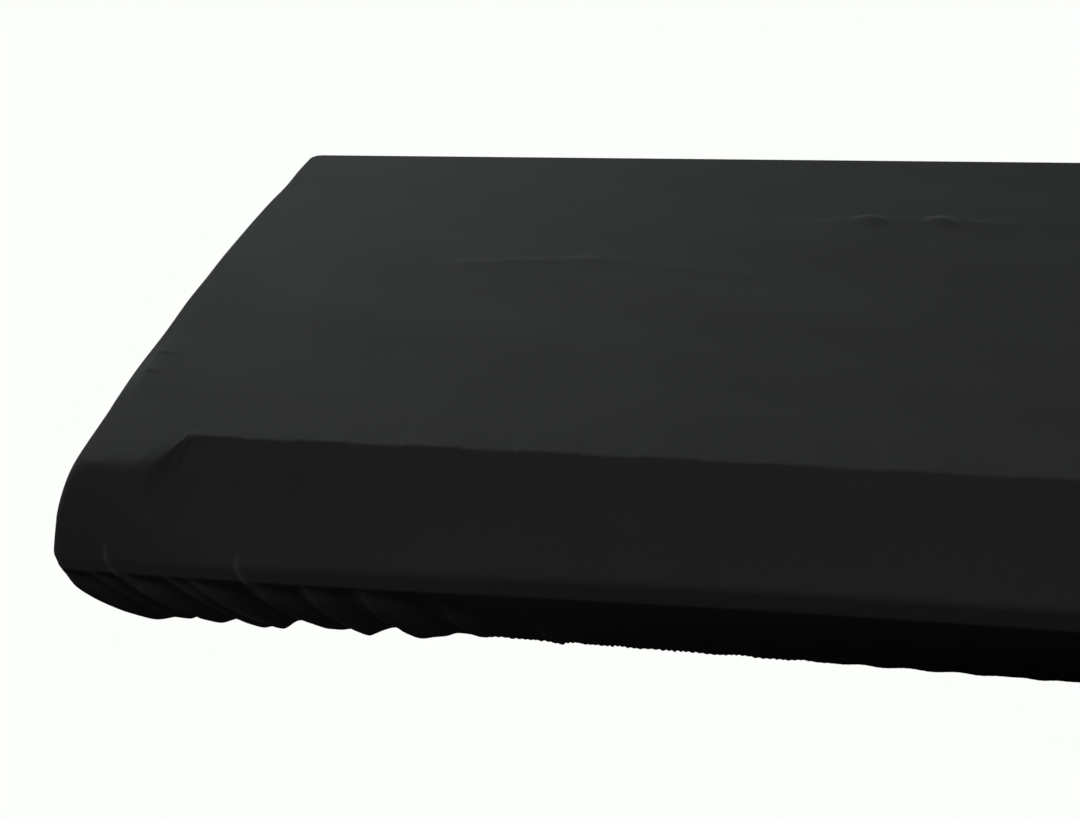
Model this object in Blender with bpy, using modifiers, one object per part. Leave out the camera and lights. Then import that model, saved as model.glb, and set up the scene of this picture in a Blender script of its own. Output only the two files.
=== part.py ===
"""A fitted dust cover of black stretch cloth, shaped by the full-size keyboard that it is pulled over.

Metres, +Z up. x runs along the keyboard, y from its front to its back. Sizes are taken from the front crease,
where the cloth bends over the fronts of the white keys: y is 0 and z is 0 there, and x is 0 at mid length. At the
end the cover is moved so that its origin lies under the top, at mid length, where the keyboard holds it up.
"""

import math
from collections import namedtuple

import bmesh
import bpy
from mathutils import Vector
from mathutils.geometry import delaunay_2d_cdt

# The keyboard's sizes that shape the cover
KEY_PITCH = 0.0235
WHITE_KEYS = 52
END_BLOCK = 0.0404
HALF_KEYS = WHITE_KEYS * KEY_PITCH / 2
HALF_LENGTH = HALF_KEYS + END_BLOCK
DEPTH = 0.2836
NOSE = 0.022

# Where the crease turns forward from the keys to the end blocks: how far this reaches outside and inside the end of
# the keys, and how much wider it is down at the rail
SADDLE_OUTSIDE = 0.0095
SADDLE_INSIDE = 0.0028
SADDLE_SPREAD = 0.040

# The cloth, and its turned hem, which is double
CLOTH = 0.0012
HEM = 0.0022

# The front rail's height, and how much lower it is toward the corners
RAIL_HEIGHT = 0.0098
RAIL_NARROW = 0.0024
RAIL_NARROW_REACH = 0.10

# Heights below the crease of the front rail's upper edge, and of the hem
RAIL_DROP = 0.0325
RAIL_DIP = 0.0085
RAIL_DIP_REACH = 0.19
HEM_DROP = 0.0955
CORNER_SAG = 0.0015
CORNER_SAG_REACH = 0.13

# Where the keyboard bears: the origin lies under the cloth, this far behind the crease
SEAT_DEPTH = 0.126

BLACK_CLOTH = (0.012, 0.0125, 0.013, 1)
ROUGHNESS = 0.85

# The top's height at each depth behind the crease
Slope = namedtuple("Slope", "depth height")
TOP = (
    Slope(-0.030, -0.0052),
    Slope(-0.022, -0.0035),
    Slope(-0.010, -0.0013),
    Slope(0.000, 0.0000),
    Slope(0.018, 0.0020),
    Slope(0.041, 0.0044),
    Slope(0.060, 0.0063),
    Slope(0.094, 0.0092),
    Slope(0.124, 0.0111),
    Slope(0.150, 0.0124),
    Slope(0.170, 0.0129),
    Slope(0.300, 0.0128),
)

# One loop of the skirt. face: 0 at the top's edge, 1 at the rail. strip: 1 below the rail's front face.
# tuck: 0 at the rail's foot, 1 at the hem. front, nose, end and back: how far the loop lies outside the crease,
# the nose of the end blocks, the shoulder of the ends and the back edge. round: its corners' radius.
Loop = namedtuple("Loop", "face strip tuck front nose end back round gather")
SKIRT = (
    Loop(0.00, 0, 0.00, -0.0040, -0.0090, -0.0085, -0.0070, 0.004, 0.00),
    Loop(0.01, 0, 0.00, -0.0004, -0.0022, -0.0006, -0.0006, 0.005, 0.00),
    Loop(0.13, 0, 0.00, 0.0048, 0.0026, 0.0046, 0.0014, 0.006, 0.00),
    Loop(0.42, 0, 0.00, 0.0152, 0.0072, 0.0092, 0.0030, 0.006, 0.00),
    Loop(0.75, 0, 0.00, 0.0270, 0.0112, 0.0120, 0.0042, 0.006, 0.04),
    Loop(1.00, 0, 0.00, 0.0360, 0.0140, 0.0138, 0.0050, 0.006, 0.16),
    Loop(1.00, 1, 0.00, 0.0354, 0.0134, 0.0134, 0.0044, 0.006, 0.45),
    Loop(1.00, 1, 0.26, 0.0275, 0.0062, 0.0130, -0.0035, 0.007, 1.00),
    Loop(1.00, 1, 0.52, 0.0190, -0.0020, 0.0114, -0.0110, 0.009, 1.10),
    Loop(1.00, 1, 0.78, 0.0100, -0.0110, 0.0082, -0.0190, 0.011, 1.00),
    Loop(1.00, 1, 0.93, 0.0040, -0.0175, 0.0052, -0.0245, 0.012, 0.90),
    Loop(1.00, 1, 1.00, 0.0010, -0.0208, 0.0034, -0.0272, 0.012, 0.85),
)
CREASE, RAIL = SKIRT[1], SKIRT[5]

# The part of a corner that faces forward, as the greatest y of its outward direction
FACES_FRONT = -0.5

# A gather at a corner, from the rail to the hem. rail and hem: where it crosses them, as a distance along the rail
# from the corner, along the front or the back where it is positive and along the end where it is negative. steep
# and gentle: its width on the side of the corner and on the other side. high: how far it stands out.
Gather = namedtuple("Gather", "rail hem steep gentle high")
SEEN_GATHERS = (
    Gather(-0.078, -0.082, 0.009, 0.014, 0.0030),
    Gather(-0.048, -0.052, 0.007, 0.012, 0.0036),
    Gather(-0.018, -0.022, 0.006, 0.010, 0.0038),
    Gather(0.015, 0.027, 0.005, 0.007, 0.0034),
    Gather(0.026, 0.041, 0.005, 0.010, 0.0054),
    Gather(0.048, 0.061, 0.005, 0.007, 0.0040),
    Gather(0.058, 0.072, 0.005, 0.010, 0.0046),
    Gather(0.083, 0.094, 0.006, 0.011, 0.0060),
    Gather(0.108, 0.111, 0.006, 0.012, 0.0050),
    Gather(0.131, 0.138, 0.007, 0.014, 0.0044),
    Gather(0.160, 0.164, 0.008, 0.013, 0.0022),
    Gather(0.195, 0.198, 0.009, 0.014, 0.0014),
)
OTHER_GATHERS = (
    Gather(-0.062, -0.066, 0.010, 0.016, 0.0028),
    Gather(-0.026, -0.030, 0.009, 0.014, 0.0036),
    Gather(0.006, 0.010, 0.008, 0.013, 0.0040),
    Gather(0.036, 0.042, 0.009, 0.014, 0.0042),
    Gather(0.068, 0.075, 0.010, 0.016, 0.0034),
    Gather(0.104, 0.109, 0.011, 0.018, 0.0022),
)

# How much of a gather's height goes outward, and how much goes down
GATHER_OUT = 0.85
GATHER_DOWN = 0.50

# How far the cloth is drawn in between the gathers, and how this ends along the end and fades along the edge
TROUGH = 0.0026
TROUGH_END = 0.030
TROUGH_FADE = 0.110

# A lobe where the hem hangs lower between two puckers, placed along the rail like a gather
Lobe = namedtuple("Lobe", "at wide low")
SEEN_LOBES = (
    Lobe(-0.060, 0.018, 0.0026),
    Lobe(-0.010, 0.020, 0.0034),
    Lobe(0.033, 0.020, 0.0030),
    Lobe(0.097, 0.017, 0.0030),
    Lobe(0.132, 0.006, 0.0036),
)
OTHER_LOBES = (
    Lobe(-0.045, 0.018, 0.0026),
    Lobe(0.022, 0.020, 0.0030),
    Lobe(0.080, 0.018, 0.0026),
)

# A hump that a knob or an edge of the panel raises in the top
Hump = namedtuple("Hump", "x depth wide behind ahead high")
HUMPS = (
    Hump(-0.3345, 0.1990, 0.0075, 0.006, 0.011, 0.0024),
    Hump(-0.3015, 0.1995, 0.0075, 0.006, 0.011, 0.0024),
    Hump(-0.3180, 0.2000, 0.0290, 0.008, 0.020, 0.0028),
    Hump(-0.4860, 0.1480, 0.0420, 0.006, 0.012, 0.0009),
    Hump(-0.6445, 0.0450, 0.0050, 0.006, 0.006, 0.0012),
)

# Each corner of the skirt: its gathers and lobes, how far they are finely divided along the end and along the
# front or back edge, and how finely
Corner = namedtuple("Corner", "side_x side_y gathers lobes along_end along_edge step")
CORNERS = (
    Corner(-1, -1, SEEN_GATHERS, SEEN_LOBES, 0.096, 0.212, 0.0045),
    Corner(1, -1, OTHER_GATHERS, OTHER_LOBES, 0.080, 0.128, 0.0062),
    Corner(1, 1, OTHER_GATHERS, OTHER_LOBES, 0.080, 0.116, 0.0080),
    Corner(-1, 1, OTHER_GATHERS, OTHER_LOBES, 0.080, 0.116, 0.0080),
)
PLAIN_STEP = 0.075

# How finely the top is divided, how wide it stays clear of the crease and the border, and how it treats a hump:
# its points' spacing along and across, and how far they reach as a share of the hump's sizes
TOP_STEP = 0.045
CREASE_MARGIN = 0.012
BORDER_MARGIN = 0.002
HUMP_STEP = 0.006
HUMP_STEP_DEEP = 0.0048
HUMP_NEAREST = 0.0036
HUMP_REACH = 1.4
HUMP_REACH_DEEP = 1.6
MERGED = 1e-6


def mix(a, b, share):
    """The value that share of the way from a to b."""
    return a + (b - a) * share


def smooth(share):
    """An S-curve from 0 to 1."""
    share = min(max(share, 0.0), 1.0)
    return share * share * (3 - 2 * share)


def profile(depth):
    """The top's height at this depth, as a smooth curve through the table's rows."""
    rows = TOP
    k = 1
    while k < len(rows) - 2 and depth > rows[k + 1].depth:
        k += 1
    before, low, high, after = rows[k - 1], rows[k], rows[k + 1], rows[min(k + 2, len(rows) - 1)]
    span = high.depth - low.depth
    t = (depth - low.depth) / span
    slope_low = (high.height - before.height) / (high.depth - before.depth) * span
    slope_high = (after.height - low.height) / (after.depth - low.depth) * span
    rise = high.height - low.height
    return low.height + t * (slope_low + t * (3 * rise - 2 * slope_low - slope_high + t * (
        slope_low + slope_high - 2 * rise)))


def top_height(x, depth):
    """The height of the top's cloth, with the humps that the panel raises in it."""
    height = profile(depth)
    for hump in HUMPS:
        reach = hump.behind if depth > hump.depth else hump.ahead
        away = ((x - hump.x) / hump.wide) ** 4 + ((depth - hump.depth) / reach) ** 2
        height += hump.high * math.exp(-away)
    return height


def over_keys(x, face):
    """1 over the keys and 0 over the end blocks. The change is sharp at the crease and wide near the rail."""
    starts = HALF_KEYS + SADDLE_OUTSIDE * (1 + face)
    ends = HALF_KEYS - SADDLE_INSIDE - SADDLE_SPREAD * face
    return smooth((starts - abs(x)) / (starts - ends))


def half_perimeters(loop):
    """The loop's half length, its front and back at the corners, and its corner radius."""
    return HALF_LENGTH + loop.end, -NOSE - loop.nose, DEPTH + loop.back, loop.round


def walk(loop, corner, along):
    """The plan point and outward direction at a distance along a loop from the middle of a corner.

    along is positive toward the loop's front or back side, and negative toward its end.
    """
    half, front, back, radius = half_perimeters(loop)
    edge = front if corner.side_y < 0 else back
    centre = Vector((corner.side_x * (half - radius), edge - corner.side_y * radius))
    quarter = radius * math.pi / 4
    if along > quarter:
        outward = Vector((0, corner.side_y))
        return centre + outward * radius - Vector((corner.side_x, 0)) * (along - quarter), outward
    if along < -quarter:
        outward = Vector((corner.side_x, 0))
        return centre + outward * radius - Vector((0, corner.side_y)) * (-along - quarter), outward
    angle = math.pi / 4 + along / radius
    outward = Vector((corner.side_x * math.cos(angle), corner.side_y * math.sin(angle)))
    return centre + outward * radius, outward


def side_lengths(loop):
    """How long a loop is from corner to corner along its front or back, and along an end."""
    half, front, back, radius = half_perimeters(loop)
    rounds = radius * math.pi / 2
    return 2 * (half - radius) + rounds, back - front - 2 * radius + rounds


def steps(start, stop, step):
    """Evenly spaced values from start up to stop, without stop itself."""
    count = max(1, round((stop - start) / step))
    return [mix(start, stop, k / count) for k in range(count)]


def columns():
    """(corner, distance along the rail) for each column of the skirt, once round, starting on the left end."""
    long_side, short_side = side_lengths(RAIL)
    found = []
    for k, corner in enumerate(CORNERS):
        after = CORNERS[(k + 1) % len(CORNERS)]
        leads_on = 1 if corner.side_x * corner.side_y > 0 else -1
        first = -corner.along_end if leads_on > 0 else -corner.along_edge
        last = corner.along_edge if leads_on > 0 else corner.along_end
        found += [(corner, leads_on * a) for a in steps(first, last, corner.step)]
        side = long_side if leads_on > 0 else short_side
        left = side - last - (after.along_edge if leads_on > 0 else after.along_end)
        found += [(corner, leads_on * (last + a)) for a in steps(0, left, PLAIN_STEP)]
    return found


def gathered(corner, along, tuck):
    """How far the gathers stand out at this distance along the rail, and how much lower the hem hangs there."""
    out = 0.0
    for gather in corner.gathers:
        away = along - mix(gather.rail, gather.hem, math.sqrt(tuck))
        wide = gather.steep if away < 0 else gather.gentle
        out += gather.high * math.exp(-((away / wide) ** 2))
    first, last = corner.gathers[0], corner.gathers[-1]
    among = smooth((along - first.rail + TROUGH_END) / TROUGH_END) * smooth((last.rail - along) / TROUGH_FADE)
    hang = sum(lobe.low * math.exp(-(((along - lobe.at) / lobe.wide) ** 4)) for lobe in corner.lobes)
    return out - TROUGH * among, hang


def skirt_point(loop, corner, along):
    """The point of the skirt where a column meets a loop."""
    rail_sides, sides = side_lengths(RAIL), side_lengths(loop)
    side = 0 if along > 0 else 1
    plan, outward = walk(loop, corner, along * sides[side] / rail_sides[side])
    x, depth = plan
    if corner.side_y < 0 and outward.y < FACES_FRONT:
        depth = mix(depth, -loop.front, over_keys(x, loop.face))
    if loop.face == 0:
        return Vector((x, depth, top_height(x, depth)))
    from_end = max(HALF_LENGTH - abs(x), 0)
    rail = -RAIL_DROP - RAIL_DIP * math.exp(-((from_end / RAIL_DIP_REACH) ** 2))
    rail_height = RAIL_HEIGHT - RAIL_NARROW * math.exp(-((from_end / RAIL_NARROW_REACH) ** 2))
    out, hang = gathered(corner, along, loop.tuck)
    hem = -HEM_DROP - CORNER_SAG * math.exp(-((from_end / CORNER_SAG_REACH) ** 4)) - hang
    edge = profile(depth if loop is CREASE else max(depth, -NOSE))
    height = mix(edge, rail, loop.face) - rail_height * loop.strip + (hem - rail + rail_height) * loop.tuck
    out *= loop.gather
    beside = outward * out * GATHER_OUT
    return Vector((x + beside.x, depth + beside.y, height - out * GATHER_DOWN))


def inside_points(border):
    """Plan points inside the border: an even grid on the top, and a fine one on each hump."""
    low = [min(p[k] for p in border) for k in (0, 1)]
    high = [max(p[k] for p in border) for k in (0, 1)]
    grid = []
    across = round((high[0] - low[0]) / TOP_STEP)
    deep = round((high[1] - low[1]) / TOP_STEP)
    for i in range(1, across):
        for j in range(1, deep):
            x = mix(low[0], high[0], (i + j % 2 / 2 - 1 / 4) / across)
            depth = mix(low[1], high[1], j / deep)
            if depth > CREASE_MARGIN or abs(x) > HALF_KEYS + CREASE_MARGIN:
                grid.append((x, depth))
    fine = []
    for hump in HUMPS:
        across = round(HUMP_REACH * hump.wide / HUMP_STEP)
        deep = round(HUMP_REACH_DEEP * hump.ahead / HUMP_STEP)
        for i in range(-across, across + 1):
            for j in range(-deep, deep + 1):
                fine.append((hump.x + i * HUMP_STEP, hump.depth + j * HUMP_STEP_DEEP))
    kept = []
    for p in fine + grid:
        margin = min(p[0] - low[0], high[0] - p[0], p[1] - low[1], high[1] - p[1])
        crowded = any(math.dist(p, q) < HUMP_NEAREST for q in kept)
        if margin > BORDER_MARGIN and not crowded:
            kept.append(p)
    return kept


def cover_surface():
    """The cover's outer face: the top filled inside its border, and the skirt lofted through its loops."""
    mesh = bmesh.new()
    cols = columns()
    rows = [[mesh.verts.new(skirt_point(loop, *col)) for col in cols] for loop in SKIRT]
    for upper, lower in zip(rows, rows[1:]):
        for k in range(len(cols)):
            after = (k + 1) % len(cols)
            mesh.faces.new((upper[k], lower[k], lower[after], upper[after]))
    border = [tuple(v.co.xy) for v in rows[0]]
    points = border + inside_points(border)
    ring = [(k, (k + 1) % len(border)) for k in range(len(border))]
    places, _, faces, sources, _, _ = delaunay_2d_cdt([Vector(p) for p in points], ring, [], 1, MERGED)
    made = []
    for place, source in zip(places, sources):
        on_border = [k for k in source if k < len(border)]
        if on_border:
            made.append(rows[0][on_border[0]])
        else:
            made.append(mesh.verts.new((place.x, place.y, top_height(place.x, place.y))))
    for face in faces:
        mesh.faces.new([made[k] for k in face])
    bmesh.ops.recalc_face_normals(mesh, faces=mesh.faces)
    return mesh, len(cols)


def make_cover(collection):
    """The cover as one closed shell, thicker along its hem."""
    surface, around = cover_surface()
    data = bpy.data.meshes.new("cover")
    surface.to_mesh(data)
    surface.free()
    data.shade_smooth()
    cover = bpy.data.objects.new("cover", data)
    collection.objects.link(cover)
    hem = cover.vertex_groups.new(name="hem")
    last = len(SKIRT) * around
    hem.add(range(last - 2 * around, last), 1.0, "REPLACE")
    solid = cover.modifiers.new("cloth", "SOLIDIFY")
    solid.thickness = HEM
    solid.offset = -1
    solid.use_quality_normals = True
    solid.vertex_group = hem.name
    solid.thickness_vertex_group = CLOTH / HEM
    return cover


def cloth_material():
    """Matt black stretch cloth."""
    material = bpy.data.materials.new("black_cloth")
    material.use_nodes = True
    shader = material.node_tree.nodes["Principled BSDF"]
    shader.inputs["Base Color"].default_value = BLACK_CLOTH
    shader.inputs["Roughness"].default_value = ROUGHNESS
    shader.inputs["Metallic"].default_value = 0.0
    return material


def main():
    for leftover in list(bpy.data.objects):
        bpy.data.objects.remove(leftover, do_unlink=True)
    collection = bpy.data.collections.new("keyboard_dust_cover")
    bpy.context.scene.collection.children.link(collection)
    cover = make_cover(collection)
    cover.data.materials.append(cloth_material())
    cover.location = (0, -SEAT_DEPTH, CLOTH - profile(SEAT_DEPTH))


main()
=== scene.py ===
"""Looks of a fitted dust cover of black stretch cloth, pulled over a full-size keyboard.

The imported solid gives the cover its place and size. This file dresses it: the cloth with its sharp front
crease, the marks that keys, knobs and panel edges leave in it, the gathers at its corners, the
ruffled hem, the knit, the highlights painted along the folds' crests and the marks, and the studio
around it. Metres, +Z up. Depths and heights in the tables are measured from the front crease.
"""

import logging
import math
from dataclasses import dataclass, field, replace
from enum import Enum

import bpy
import numpy as np
from mathutils import Matrix, Vector
from mathutils.geometry import delaunay_2d_cdt


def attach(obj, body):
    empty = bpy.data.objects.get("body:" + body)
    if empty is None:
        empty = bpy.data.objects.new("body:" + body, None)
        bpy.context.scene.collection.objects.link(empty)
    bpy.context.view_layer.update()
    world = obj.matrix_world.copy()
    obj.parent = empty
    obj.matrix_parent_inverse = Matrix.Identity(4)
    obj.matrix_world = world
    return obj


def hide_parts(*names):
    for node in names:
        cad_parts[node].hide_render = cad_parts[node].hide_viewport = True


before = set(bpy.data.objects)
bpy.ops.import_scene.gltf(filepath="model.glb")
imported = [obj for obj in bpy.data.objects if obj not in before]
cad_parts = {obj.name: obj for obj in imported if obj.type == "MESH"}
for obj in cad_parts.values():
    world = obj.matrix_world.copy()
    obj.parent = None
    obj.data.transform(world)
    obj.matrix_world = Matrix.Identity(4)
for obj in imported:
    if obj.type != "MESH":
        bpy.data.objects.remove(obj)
log = logging.getLogger("dust_cover")

PHOTO_WIDE = 1080


class Place(Enum):
    """A corner of the cover, as the side of x and the side of y that it lies on."""

    FRONT_LEFT = (-1, -1)
    FRONT_RIGHT = (1, -1)
    BACK_RIGHT = (1, 1)
    BACK_LEFT = (-1, 1)


@dataclass(frozen=True)
class Slope:
    """The top's height at one depth behind the crease."""

    depth: float
    height: float


@dataclass(frozen=True)
class Loop:
    """One loop round the skirt.

    face is 0 at the top's edge and 1 at the rail, strip is 1 below the rail's front, and tuck is 0 at
    the rail's foot and 1 at the hem. front, nose, end and back tell how far the loop lies outside the
    crease, the end blocks' nose, the ends and the back. round is the radius of its corners.
    """

    face: float
    strip: float
    tuck: float
    front: float
    nose: float
    end: float
    back: float
    round: float


@dataclass(frozen=True)
class Gather:
    """A fold at a corner.

    rail and hem tell where it crosses them, as distances along the rail from the corner. starts is how
    far below the rail's upper edge it begins. steep and gentle are the slopes before and after its
    crest, and high is its height.
    """

    rail: float
    hem: float
    starts: float
    steep: float
    gentle: float
    high: float


@dataclass(frozen=True)
class Lobe:
    """A place where the hem hangs lower between two puckers."""

    at: float
    wide: float
    low: float


@dataclass(frozen=True)
class Corner:
    """A corner's folds and lobes, how far it is finely divided along end and edge, and how finely."""

    place: Place
    gathers: tuple[Gather, ...]
    lobes: tuple[Lobe, ...]
    along_end: float
    along_edge: float
    step: float


@dataclass(frozen=True)
class Zone:
    """A stretch of the front edge up to this x, with so many columns to each key."""

    ends: float
    per_key: int


@dataclass(frozen=True)
class Bend:
    """A sharp loop that is rounded, from so far before it to so far after it, counted in loops."""

    loop: int
    before: float
    after: float


@dataclass(frozen=True)
class Patch:
    """A rectangle of the top whose points have a spacing of their own."""

    step: float
    left: float
    right: float
    front: float
    back: float


@dataclass(frozen=True)
class HemRow:
    """A row of the hem: its place in loops, and its shares of the hem's height outside and inside."""

    stop: float
    outer: float
    inner: float


TOP = (
    Slope(-0.030, -0.0052),
    Slope(-0.022, -0.0035),
    Slope(-0.010, -0.0013),
    Slope(0.000, 0.0000),
    Slope(0.018, 0.0020),
    Slope(0.041, 0.0044),
    Slope(0.060, 0.0063),
    Slope(0.094, 0.0092),
    Slope(0.124, 0.0111),
    Slope(0.150, 0.0124),
    Slope(0.170, 0.0129),
    Slope(0.300, 0.0128),
)

SKIRT = (
    Loop(0.00, 0, 0.00, -0.0040, -0.0090, -0.0085, -0.0070, 0.004),
    Loop(0.01, 0, 0.00, -0.0002, -0.0022, -0.0006, -0.0006, 0.005),
    Loop(0.13, 0, 0.00, 0.0046, 0.0026, 0.0046, 0.0014, 0.006),
    Loop(0.42, 0, 0.00, 0.0152, 0.0072, 0.0092, 0.0030, 0.006),
    Loop(0.75, 0, 0.00, 0.0270, 0.0112, 0.0120, 0.0042, 0.006),
    Loop(1.00, 0, 0.00, 0.0360, 0.0140, 0.0138, 0.0050, 0.006),
    Loop(1.00, 1, 0.00, 0.0354, 0.0134, 0.0134, 0.0044, 0.006),
    Loop(1.00, 1, 0.26, 0.0275, 0.0062, 0.0130, -0.0035, 0.007),
    Loop(1.00, 1, 0.52, 0.0190, -0.0020, 0.0114, -0.0110, 0.009),
    Loop(1.00, 1, 0.78, 0.0100, -0.0110, 0.0082, -0.0190, 0.011),
    Loop(1.00, 1, 0.93, 0.0040, -0.0175, 0.0052, -0.0245, 0.012),
    Loop(1.00, 1, 1.00, 0.0010, -0.0208, 0.0034, -0.0272, 0.012),
)
CREASE, RAIL_TOP, RAIL_FOOT = 1, 5, 6
SHARP_LOOPS = (0, CREASE, RAIL_TOP, RAIL_FOOT, len(SKIRT) - 1)
BENDS = (Bend(CREASE, 0.24, 0.13), Bend(RAIL_TOP, 0.20, 0.20), Bend(RAIL_FOOT, 0.14, 0.09))

SEEN_GATHERS = (
    Gather(-0.078, -0.082, 0.010, 0.26, 0.18, 0.0010),
    Gather(-0.048, -0.052, 0.009, 0.28, 0.20, 0.0014),
    Gather(-0.020, -0.026, 0.009, 0.32, 0.22, 0.0016),
    Gather(-0.002, -0.002, 0.005, 0.28, 0.24, 0.0024),
    Gather(0.0140, 0.0250, 0.003, 0.36, 0.30, 0.0008),
    Gather(0.0270, 0.0400, -0.012, 0.42, 0.28, 0.0024),
    Gather(0.0480, 0.0605, 0.007, 0.36, 0.30, 0.0012),
    Gather(0.0575, 0.0700, 0.008, 0.36, 0.26, 0.0018),
    Gather(0.0840, 0.0920, -0.007, 0.42, 0.26, 0.0024),
    Gather(0.1080, 0.1110, 0.008, 0.42, 0.24, 0.0022),
    Gather(0.1310, 0.1345, 0.010, 0.30, 0.20, 0.0022),
    Gather(0.1590, 0.1640, 0.028, 0.24, 0.16, 0.0014),
    Gather(0.1930, 0.1980, 0.044, 0.22, 0.14, 0.0010),
)
OTHER_GATHERS = (
    Gather(-0.062, -0.066, 0.010, 0.26, 0.18, 0.0012),
    Gather(-0.026, -0.030, 0.009, 0.30, 0.22, 0.0018),
    Gather(0.006, 0.010, 0.008, 0.34, 0.26, 0.0026),
    Gather(0.036, 0.042, 0.008, 0.36, 0.26, 0.0024),
    Gather(0.068, 0.075, 0.012, 0.30, 0.22, 0.0018),
    Gather(0.104, 0.109, 0.020, 0.24, 0.16, 0.0012),
)
SEEN_LOBES = (
    Lobe(-0.060, 0.018, 0.0026),
    Lobe(-0.008, 0.022, 0.0044),
    Lobe(0.034, 0.012, 0.0012),
    Lobe(0.052, 0.011, 0.0030),
    Lobe(0.100, 0.015, 0.0030),
    Lobe(0.137, 0.008, 0.0030),
)
OTHER_LOBES = (
    Lobe(-0.045, 0.018, 0.0026),
    Lobe(0.022, 0.020, 0.0030),
    Lobe(0.080, 0.018, 0.0026),
)
CORNERS = (
    Corner(Place.FRONT_LEFT, SEEN_GATHERS, SEEN_LOBES, 0.096, 0.215, 0.00068),
    Corner(Place.FRONT_RIGHT, OTHER_GATHERS, OTHER_LOBES, 0.080, 0.128, 0.0019),
    Corner(Place.BACK_RIGHT, OTHER_GATHERS, OTHER_LOBES, 0.080, 0.116, 0.0034),
    Corner(Place.BACK_LEFT, OTHER_GATHERS, OTHER_LOBES, 0.080, 0.116, 0.0034),
)
FRONT_ZONES = (Zone(-0.470, 40), Zone(-0.435, 24), Zone(-0.165, 12), Zone(0.540, 6))

# The cloth's rows, counted in loops
CREASE_STOPS = (0, 0.3, 0.55, 0.76, 0.86, 0.94, 1.0, 1.05, 1.13, 1.25, 1.45, 1.7)
FACE_STOPS = tuple(np.arange(2, 4.3, 0.3))
RAIL_STOPS = (4.5, 4.65, 4.8, 4.88, 4.94, 5.0, 5.06, 5.13, 5.22, 5.4, 5.62, 5.78, 5.86, 5.93, 5.98)
STRIP_STOPS = (6.03, 6.09, 6.2, 6.34)
TUCK_STOPS = tuple(np.arange(6.5, 9.0, 1 / 6))
SEAM_STOPS = tuple(np.linspace(9.0, 9.70, 4))

# In turn over the knobs, the panel's edge, the ledges, the crease, the left end block, the spots behind the
# crease and the right end block
FINE_PATCHES = (
    Patch(0.0013, -0.372, -0.262, 0.176, 0.212),
    Patch(0.0017, -0.552, -0.366, 0.128, 0.160),
    Patch(0.0013, -0.6595, -0.622, 0.018, 0.068),
    Patch(0.0020, -0.6595, -0.165, -0.001, 0.012),
    Patch(0.0020, -0.6595, -0.560, -0.025, 0.012),
    Patch(0.0024, -0.345, -0.165, 0.042, 0.053),
    Patch(0.0022, 0.582, 0.6595, -0.025, 0.012),
)

HEM_ROWS = (
    HemRow(9.10, -0.80, 0.20),
    HemRow(9.26, 0.25, 0.80),
    HemRow(9.46, 0.60, 1.00),
    HemRow(9.70, 0.80, 1.00),
    HemRow(9.95, 0.95, 1.00),
    HemRow(10.25, 1.00, 1.00),
    HemRow(10.60, 0.90, 0.95),
    HemRow(10.90, 0.55, 0.70),
    HemRow(11.00, 0.00, 0.30),
)


def smooth(share: np.ndarray) -> np.ndarray:
    """An S-curve from 0 to 1."""
    share = np.clip(share, 0.0, 1.0)
    return share * share * (3 - 2 * share)


def mix(a: np.ndarray, b: np.ndarray, share: np.ndarray) -> np.ndarray:
    """The value that share of the way from a to b."""
    return a + (b - a) * share


def bell(away: np.ndarray, reach: float, power: float = 2) -> np.ndarray:
    """A bell curve that is 1 at no distance and 1/e at its reach, and squarer with a higher power."""
    return np.exp(-(np.abs(away / reach) ** power))


def crest(away: np.ndarray, before: float, after: float, blunt: float) -> np.ndarray:
    """The section of a ridge: 1 on its crest, and falling on each side of it.

    Args:
        away: distance from the crest, negative before it.
        before: how far the ridge reaches before its crest.
        after: how far it reaches after its crest.
        blunt: how rounded the crest is.

    Returns:
        The height of the section at each distance, from 0 to 1.
    """
    reach = np.where(away < 0, before, after)
    return np.exp(blunt - np.sqrt((away / reach) ** 2 + blunt**2))


@dataclass(frozen=True)
class Fade:
    """An S-curve over one stretch of a length or share. With a negative reach it falls."""

    start: float
    reach: float

    def at(self, value: np.ndarray) -> np.ndarray:
        """How far the fade has come at each value, from 0 to 1."""
        return smooth((value - self.start) / self.reach)


@dataclass(frozen=True)
class Wave:
    """A wave along the skirt, made uneven by a longer wave that sways it."""

    high: float
    length: float
    phase: float = 0.0
    sway: float = 0.0
    sway_length: float = 1.0

    def at(self, way: np.ndarray) -> np.ndarray:
        """The wave's height this far round the skirt."""
        swayed = self.sway * np.sin(way * 2 * np.pi / self.sway_length)
        return self.high * np.sin(way * 2 * np.pi / self.length + self.phase + swayed)


@dataclass(frozen=True)
class Columns:
    """The skirt's columns: their corner, its sides, how far along the rail from it, and the way round."""

    corner: np.ndarray
    side_x: np.ndarray
    side_y: np.ndarray
    along: np.ndarray
    around: np.ndarray


@dataclass(frozen=True)
class Rows:
    """The skirt's rows: their weights on the loops, their shares of them, and how far below the rail."""

    weights: np.ndarray
    face: np.ndarray
    strip: np.ndarray
    tuck: np.ndarray
    below: np.ndarray


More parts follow.
